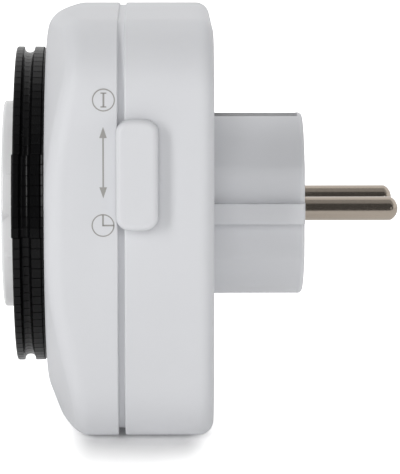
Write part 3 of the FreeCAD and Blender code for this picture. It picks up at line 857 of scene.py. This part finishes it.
class TIMER_OT_tappets(bpy.types.Operator):
    """The ring of tappets, four for each hour, every hour on its own body"""
    bl_idname = "timer.tappets"
    bl_label = "Tappets"

    def execute(self, context):
        size = context.scene.timer_dial
        material = finish("moulded_acetal_black")
        for hour in range(HOURS):
            group = new_piece("tappet_group_%02d" % hour,
                              tappet_shape(size.tappet_joint, size.groove_depth))
            start = TAPPET_START + hour * TAPPETS_PER_HOUR * TAPPET_STEP
            run_tree(group, ring_tree(), {
                "Count": TAPPETS_PER_HOUR, "First Angle": math.radians(start),
                "Step Angle": math.radians(TAPPET_STEP), "Material": material,
                "Forward": size.forward_shift if hour in FORWARD_HOURS else 0.0})
            node = "tappets_hour_%02d" % hour
            put_on(group, node, material, [node])
        return {"FINISHED"}


def button_columns():
    """Places round the button's outline, as (x, z), with softly bowed ends."""
    r, bow = 2.0, 0.65
    middle = (BUTTON_FRONT + BUTTON_REAR) / 2
    half = (BUTTON_REAR - BUTTON_FRONT) / 2
    places = []
    for cx, cz, start in ((BUTTON_REAR - r, BUTTON_TOP - r, 0), (BUTTON_FRONT + r,
                          BUTTON_TOP - r, 90), (BUTTON_FRONT + r, BUTTON_BOTTOM + r, 180),
                          (BUTTON_REAR - r, BUTTON_BOTTOM + r, 270)):
        for n in range(9):
            turn = math.radians(start + 90 * n / 8)
            places.append((cx + r * math.cos(turn), cz + r * math.sin(turn)))
        if start in (0, 180):
            side = 1 if start == 0 else -1
            for n in range(1, 6):
                places.append((cx - side * 2 * (half - r) * n / 6, cz + side * r))
    bowed = []
    for x, z in places:
        drop = bow * ((x - middle) / half) ** 2
        share = 2 * (z - BUTTON_BOTTOM) / (BUTTON_TOP - BUTTON_BOTTOM) - 1
        bowed.append((x, z - drop * share))
    return bowed


def drawn_in(places, inset):
    """A closed outline moved inwards along its normals."""
    moved = []
    for n, (x, z) in enumerate(places):
        x0, z0 = places[n - 1]
        x1, z1 = places[(n + 1) % len(places)]
        run = math.hypot(x1 - x0, z1 - z0)
        moved.append((x - (z1 - z0) / run * inset, z + (x1 - x0) / run * inset))
    return moved


class TIMER_OT_button(bpy.types.Operator):
    """The override button with its stem through the casing's slot and its foot inside"""
    bl_idname = "timer.button"
    bl_label = "Override button"

    def execute(self, context):
        edge = context.scene.timer_button.edge_round
        places = button_columns()
        levels = [(BUTTON_SKIN, 0.15), (BUTTON_SKIN - 0.15, 0.0),
                  (BUTTON_FACE + edge + 0.05, 0.0)]
        levels += [(BUTTON_FACE + edge - r, edge - x) for x, r in arc(0, 0, edge, 0, 90, 8)]
        levels.append((BUTTON_FACE, edge + 0.1))
        rows = [[(x, y, z) for x, z in drawn_in(places, inset)] for y, inset in levels]
        button = new_piece("override_button", joined(
            skin(rows), block(-15.4, -12.0, BUTTON_SKIN - 0.5, -33.6, 6.5, 14.5),
            block(-15.8, -9.0, -35.6, -33.6, 3.0, 18.0)))
        put_on(button, "override", finish("moulded_abs_button"),
               ["override_slider"])
        return {"FINISHED"}


class TIMER_OT_pins(bpy.types.Operator):
    """The two turned plug pins with domed tips"""
    bl_idname = "timer.pins"
    bl_label = "Plug pins"

    def execute(self, context):
        rear, tip = PIN_BOX[0][0], PIN_BOX[1][0]
        nose, ball = 1.5, 2.67
        widest = math.degrees(math.asin(PIN_RADIUS / ball)) - 6
        profile = [(rear, 0.0), (rear, PIN_TAIL), (PLUG_END - 0.1, PIN_TAIL),
                   (PLUG_END - 0.1, PIN_RADIUS), (tip - nose - 0.15, PIN_RADIUS),
                   (tip - nose - 0.02, PIN_RADIUS - 0.02)]
        profile += arc(tip - ball, 0.0, ball, widest, 0, 10)
        for name, y in (("live_pin", -PIN_OFFSET), ("neutral_pin", PIN_OFFSET)):
            pin = new_piece("turned_" + name, lathe(profile, y=y, steps=72))
            put_on(pin, "casing", finish("turned_nickel_plate"), [name])
        return {"FINISHED"}


def bent_strip(path, thickness, half_width):
    """A strip bent along (x, z) places, with mitred bends, across the middle plane."""
    places = [Vector(place) for place in path]
    rows = []
    for n, place in enumerate(places):
        after = (places[min(n + 1, len(places) - 1)] - place).normalized()
        before = (place - places[max(n - 1, 0)]).normalized()
        normal = Vector((-after.y - before.y, after.x + before.x))
        if n in (0, len(places) - 1):
            normal *= 2
        step = normal * thickness / normal.length_squared
        rows.append([(q.x, y, q.y) for q, y in ((place + step, -half_width),
                     (place + step, half_width), (place - step, half_width),
                     (place - step, -half_width))])
    return skin(rows)


class TIMER_OT_earth_strips(bpy.types.Operator):
    """The earth strips, from the plug's recesses to the sprung tongues of the socket"""
    bl_idname = "timer.earth_strips"
    bl_label = "Earth strips"

    def execute(self, context):
        arm = [(-4.6, 0.0), (-4.6, 18.1), (-25.5, 18.1), (-31.0, 16.4), (-38.0, 18.4)]
        tongue = [(-4.9, 16.95), (3.0, 16.85), (9.0, 16.9), (16.5, 16.8)]
        shapes = []
        for side in (1, -1):
            for path, thickness in ((arm, 0.7), (tongue, 0.5)):
                shapes.append(bent_strip([(x, side * z) for x, z in path], thickness, 3.0))
        strips = new_piece("earth_strips", joined(*shapes))
        put_on(strips, "casing", finish("nickel_plated_strip"), ["earth_bracket"])
        return {"FINISHED"}


class TIMER_OT_screws(bpy.types.Operator):
    """Four cross-slotted casing screws in their counterbores"""
    bl_idname = "timer.screws"
    bl_label = "Casing screws"

    def execute(self, context):
        profile = [(-12.0, 0.0), (-12.0, 1.2), (-1.5, 1.2), (-1.5, 2.8), (-0.6, 2.8)]
        profile += arc(-0.6, 2.3, 0.5, 90, 0, 4)[1:] + [(-0.1, 0.0)]
        screws = new_piece("cross_screws", lathe(profile, steps=32))
        cut(screws, block(-0.9, 1.0, -2.0, 2.0, -0.35, 0.35),
            block(-0.9, 1.0, -0.35, 0.35, -2.0, 2.0))
        run_tree(screws, corner_tree(), {
            "Width": 2 * SCREW_Y, "Height": SCREW_HIGH - SCREW_LOW,
            "Middle Height": (SCREW_HIGH + SCREW_LOW) / 2,
            "Material": finish("zinc_plated_steel")})
        put_on(screws, "casing", finish("zinc_plated_steel"), ["casing_screws"])
        return {"FINISHED"}


# Printed symbols on the cover's near side: places and sizes in the plane of X and Z.
MARK_X = -21.5
ON_MARK_X = -21.4
CLOCK_MARK_X = -21.57
ON_MARK_Z = 24.8
CLOCK_MARK_Z = 0.46
MARK_RADIUS = 2.1
ARROW_TOP, ARROW_BOTTOM = 19.6, 5.75
ARROW_HEAD, ARROW_HALF = 2.15, 0.73
INK_SKIN = -CASE_HALF - 0.03


def flat_band(outer, inner):
    """A thin printed ring between two outlines of the same count."""
    base = -CASE_HALF + 0.05
    rows = []
    for y, places in ((INK_SKIN, outer), (INK_SKIN, inner), (base, inner), (base, outer)):
        rows.append([(x, y, z) for x, z in places])
    return skin(rows, closed=True)


def flat_patch(places):
    """A thin printed patch inside an outline."""
    return skin([[(x, y, z) for x, z in places] for y in (INK_SKIN, -CASE_HALF + 0.05)])


def bar(x0, z0, x1, z1, width):
    run = math.hypot(x1 - x0, z1 - z0)
    sx, sz = -(z1 - z0) / run * width / 2, (x1 - x0) / run * width / 2
    return flat_patch([(x0 + sx, z0 + sz), (x1 + sx, z1 + sz), (x1 - sx, z1 - sz),
                       (x0 - sx, z0 - sz)])


def printed_ring(x, z, radius, width):
    turns = [math.tau * n / 64 for n in range(64)]
    outer, inner = ([(x + r * math.cos(turn), z + r * math.sin(turn)) for turn in turns]
                    for r in (radius + width / 2, radius - width / 2))
    return flat_band(outer, inner)


class TIMER_OT_marks(bpy.types.Operator):
    """Printed symbols beside the button: always on, slide up or down, timed"""
    bl_idname = "timer.marks"
    bl_label = "Printed symbols"

    def execute(self, context):
        line = context.scene.timer_marks.line
        shapes = [printed_ring(ON_MARK_X, ON_MARK_Z, MARK_RADIUS, line),
                  printed_ring(CLOCK_MARK_X, CLOCK_MARK_Z, MARK_RADIUS, line)]
        stem, serif = 1.33, 0.56
        shapes.append(bar(ON_MARK_X, ON_MARK_Z - stem, ON_MARK_X, ON_MARK_Z + stem, line * 1.5))
        for z in (ON_MARK_Z - stem, ON_MARK_Z + stem):
            shapes.append(bar(ON_MARK_X - serif, z, ON_MARK_X + serif, z, line))
        shapes.append(bar(MARK_X, ARROW_TOP - ARROW_HEAD, MARK_X, ARROW_BOTTOM + ARROW_HEAD,
                          line * 1.3))
        for tip, way in ((ARROW_TOP, -1), (ARROW_BOTTOM, 1)):
            foot = tip + way * ARROW_HEAD
            shapes.append(flat_patch([(MARK_X, tip), (MARK_X + ARROW_HALF, foot),
                                      (MARK_X - ARROW_HALF, foot)]))
        hand = line * 1.35
        x, z = CLOCK_MARK_X, CLOCK_MARK_Z
        shapes.append(bar(x, z - hand / 2, x, z + MARK_RADIUS, hand))
        shapes.append(bar(x, z, x + MARK_RADIUS, z, hand))
        marks = new_piece("printed_symbols", joined(*shapes))
        put_on(marks, "casing", finish("printed_grey_ink"))
        return {"FINISHED"}


class TIMER_OT_inner_pieces(bpy.types.Operator):
    """Paints the pieces inside the casing that are shown as the frame has them"""
    bl_idname = "timer.inner_pieces"
    bl_label = "Inner pieces"

    def execute(self, context):
        for name, nodes in NODE_FINISHES.items():
            material = finish(name)
            for node in nodes:
                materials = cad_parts[node].data.materials
                materials.clear()
                materials.append(material)
        return {"FINISHED"}


# The photograph's viewpoint in metres, its focal length in pixels and the pixel of the axis.
CAMERA_PLACE = (-0.0123, -0.6824, 0.0874)
CAMERA_TILT = 7.3
FOCAL_PIXELS = 3364.0
FRAME_PIXELS = (400.0, 474.0)
AXIS_PIXEL = (151.0, 202.8)
SENSOR_WIDTH = 36.0


def lamp(name, place, target, width, watts, height):
    light = bpy.data.lights.new(name, "AREA")
    light.shape = "RECTANGLE"
    light.size = width
    light.size_y = height
    light.energy = watts
    thing = bpy.data.objects.new(name, light)
    thing.location = place
    thing.rotation_mode = "QUATERNION"
    thing.rotation_quaternion = (Vector(target) - Vector(place)).to_track_quat("-Z", "Y")
    bpy.context.scene.collection.objects.link(thing)
    return thing


def reflected_card(name, strength, path):
    """An upright or level card along a path of (y, z), which only reflections see."""
    half = 6.0
    points = [(x, y, z) for y, z in path for x in (-half, half)]
    faces = [(n, n + 1, n + 3, n + 2) for n in range(0, len(points) - 2, 2)]
    mesh = bpy.data.meshes.new(name)
    mesh.from_pydata(points, [], faces)
    material, tree = new_material(name)
    dim = add(tree, "ShaderNodeEmission", {"Color": WHITE, "Strength": strength})
    add(tree, "ShaderNodeOutputMaterial", {"Surface": dim})
    mesh.materials.append(material)
    card = bpy.data.objects.new(name, mesh)
    bpy.context.scene.collection.objects.link(card)
    card.visible_camera = card.visible_diffuse = card.visible_shadow = False
    card.visible_transmission = False
    return card


def seen_directly(tree):
    """1 for rays from the camera, a reflection or a clear material, 0 for other light."""
    path = add(tree, "ShaderNodeLightPath").outputs
    first = add(tree, "ShaderNodeMath", {".operation": "MAXIMUM", 0: path["Is Camera Ray"],
                                         1: path["Is Glossy Ray"]})
    return add(tree, "ShaderNodeMath", {".operation": "MAXIMUM", 0: first,
                                        1: path["Is Transmission Ray"]})


# Light table, in metres: half its side, and the window along X under the base where its painted
# contact shadow lies.
TABLE_HALF = 3.0
BASE_MIDDLE_X = -0.0145
PAINTED_SHADOW_OUTER, PAINTED_SHADOW_INNER = 0.0175, 0.0085
LAMP_TARGET = (-0.01, 0.0, 0.0)
CLOTH_PATH = [(-0.17, -0.042), (-1.2, -0.042), (-1.2, 1.85)]
CEILING_PATH = [(-1.2, 1.85), (0.43, 1.85)]
WHITE = (1.0, 1.0, 1.0, 1.0)


def opal_light_table(size):
    """Opal light table: matt and white and glowing, with painted shade round the timer and a
    painted contact shadow under its base.
    """
    material, tree = new_material("opal_light_table")
    matt = add(tree, "ShaderNodeBsdfDiffuse", {"Color": (*size.floor_colour, 1.0)})
    place = add(tree, "ShaderNodeTexCoord").outputs["Object"]
    reach = add(tree, "ShaderNodeVectorMath", {".operation": "LENGTH", 0: place})
    # Painted shade: the glow that the camera sees falls from 1.0 to 0.9 towards the timer.
    painted_shade_rise = add(tree, "ShaderNodeMapRange", {"Value": reach.outputs["Value"], "From Min": 0.08,
                                            "From Max": 0.3, "To Min": 0.9, "To Max": 1.0})
    # Painted contact shadow: occlusion cubed darkens the glow that the camera sees, only in a
    # window along X under the base.
    open_sky = add(tree, "ShaderNodeAmbientOcclusion", {"Distance": 0.03}).outputs["AO"]
    sharp = add(tree, "ShaderNodeMath", {".operation": "POWER", 0: open_sky, 1: 3.0})
    across = add(tree, "ShaderNodeSeparateXYZ", {0: place}).outputs["X"]
    aside = add(tree, "ShaderNodeMath", {".operation": "ADD", 0: across, 1: -BASE_MIDDLE_X})
    apart = add(tree, "ShaderNodeMath", {".operation": "ABSOLUTE", 0: aside})
    under = add(tree, "ShaderNodeMapRange",
                {".interpolation_type": "SMOOTHSTEP", "Value": apart,
                 "From Min": PAINTED_SHADOW_OUTER, "From Max": PAINTED_SHADOW_INNER})
    painted_contact_shadow = add(tree, "ShaderNodeMix", {0: under, 2: 1.0, 3: sharp})
    glow_with_painted_shade = add(tree, "ShaderNodeMath", {".operation": "MULTIPLY", 0: painted_contact_shadow, 1: painted_shade_rise})
    for_camera = add(tree, "ShaderNodeLightPath").outputs["Is Camera Ray"]
    strength = add(tree, "ShaderNodeMix", {0: for_camera, 2: size.table_glow, 3: glow_with_painted_shade})
    lift = add(tree, "ShaderNodeEmission", {"Color": WHITE, "Strength": strength})
    both = add(tree, "ShaderNodeAddShader", {0: matt, 1: lift})
    add(tree, "ShaderNodeOutputMaterial", {"Surface": both})
    return material


def studio_world(ambient):
    """White where it is seen directly, and an even dim light for everything else."""
    world = bpy.data.worlds.new("studio")
    world.use_nodes = True
    tree = world.node_tree
    tree.nodes.clear()
    even, white = (add(tree, "ShaderNodeBackground", {"Color": WHITE, "Strength": strength})
                   for strength in (ambient, 1.0))
    mixed = add(tree, "ShaderNodeMixShader", {0: seen_directly(tree), 1: even, 2: white})
    add(tree, "ShaderNodeOutputWorld", {"Surface": mixed})
    return world


def photo_camera():
    """The photograph's camera, turned so that the axis falls on its pixel."""
    data = bpy.data.cameras.new("camera")
    data.sensor_width = SENSOR_WIDTH
    data.lens = FOCAL_PIXELS / FRAME_PIXELS[1] * SENSOR_WIDTH
    data.clip_start, data.clip_end = 0.05, 20.0
    camera = bpy.data.objects.new("camera", data)
    bpy.context.scene.collection.objects.link(camera)
    tilt = math.radians(CAMERA_TILT)
    ahead = Vector((0.0, math.cos(tilt), -math.sin(tilt)))
    above = Vector((0.0, math.sin(tilt), math.cos(tilt)))
    aim = (ahead * FOCAL_PIXELS + Vector((1, 0, 0)) * (FRAME_PIXELS[0] / 2 - AXIS_PIXEL[0])
           - above * (FRAME_PIXELS[1] / 2 - AXIS_PIXEL[1]))
    camera.location = CAMERA_PLACE
    camera.rotation_mode = "QUATERNION"
    camera.rotation_quaternion = aim.to_track_quat("-Z", "Y")
    return camera


class TIMER_OT_stage(bpy.types.Operator):
    """Pale floor, soft studio light, white surroundings and the photograph's camera"""
    bl_idname = "timer.stage"
    bl_label = "Stage"

    def execute(self, context):
        size = context.scene.timer_stage
        mesh = bpy.data.meshes.new("floor")
        mesh.from_pydata([(x * TABLE_HALF, y * TABLE_HALF, CASE_BOTTOM * MM)
                          for x, y in ((-1, -1), (1, -1), (1, 1), (-1, 1))], [], [(0, 1, 2, 3)])
        floor = bpy.data.objects.new("floor", mesh)
        context.scene.collection.objects.link(floor)
        mesh.materials.append(opal_light_table(size))

        # Dark cloth in front and a grey ceiling, seen only in reflections, as in a studio.
        cards = [reflected_card("dark_cloth", 0.1, CLOTH_PATH),
                 reflected_card("grey_ceiling", 0.43, CEILING_PATH)]
        lamps = [lamp(name, place, LAMP_TARGET, width, watts, height)
                 for name, place, width, height, watts in (
                     ("key_lamp", (-0.78, -0.78, 0.34), 0.26, 0.8, size.key_power),
                     ("front_lamp", (-0.05, -1.2, 0.5), 0.6, 0.6, size.front_power),
                     ("side_lamp", (1.15, -0.35, 0.2), 0.6, 0.6, size.side_power),
                     ("top_lamp", (0.0, 0.7, 1.0), 0.9, 0.9, size.top_power),
                     ("strip_lamp", (0.78, -0.9, 0.1), 0.07, 0.3, size.strip_power))]
        for soft in lamps[1:4]:
            soft.visible_glossy = False
        context.scene.world = studio_world(size.ambient)
        context.scene.view_settings.view_transform = "Standard"
        context.scene.camera = photo_camera()
        return {"FINISHED"}


SETTINGS = {
    "timer_casing": CasingSettings,
    "timer_hub": HubSettings,
    "timer_dial": DialSettings,
    "timer_button": ButtonSettings,
    "timer_pins": PinSettings,
    "timer_marks": MarkSettings,
    "timer_stage": StageSettings,
}
OPERATORS = (TIMER_OT_front_cover, TIMER_OT_rear_housing, TIMER_OT_hub, TIMER_OT_dial,
             TIMER_OT_tappets, TIMER_OT_button, TIMER_OT_pins, TIMER_OT_earth_strips,
             TIMER_OT_screws, TIMER_OT_marks, TIMER_OT_inner_pieces, TIMER_OT_stage)


class TIMER_PT_panel(bpy.types.Panel):
    """The timer's pieces and their sizes and colours"""
    bl_label = "Plug In Timer Switch"
    bl_space_type = "VIEW_3D"
    bl_region_type = "UI"
    bl_category = "Timer"

    def draw(self, context):
        for name, group in SETTINGS.items():
            column = self.layout.box().column()
            for key in group.__annotations__:
                column.prop(getattr(context.scene, name), key)
        for operator in OPERATORS:
            self.layout.operator(operator.bl_idname)


CLASSES = (*SETTINGS.values(), *OPERATORS, TIMER_PT_panel)


def register():
    for item in CLASSES:
        bpy.utils.register_class(item)
    for name, group in SETTINGS.items():
        setattr(bpy.types.Scene, name, PointerProperty(type=group))


def unregister():
    for name in SETTINGS:
        delattr(bpy.types.Scene, name)
    for item in reversed(CLASSES):
        bpy.utils.unregister_class(item)


def main():
    register()
    for operator in OPERATORS:
        group, name = operator.bl_idname.split(".")
        getattr(getattr(bpy.ops, group), name)()


if __name__ == "__main__":
    main()
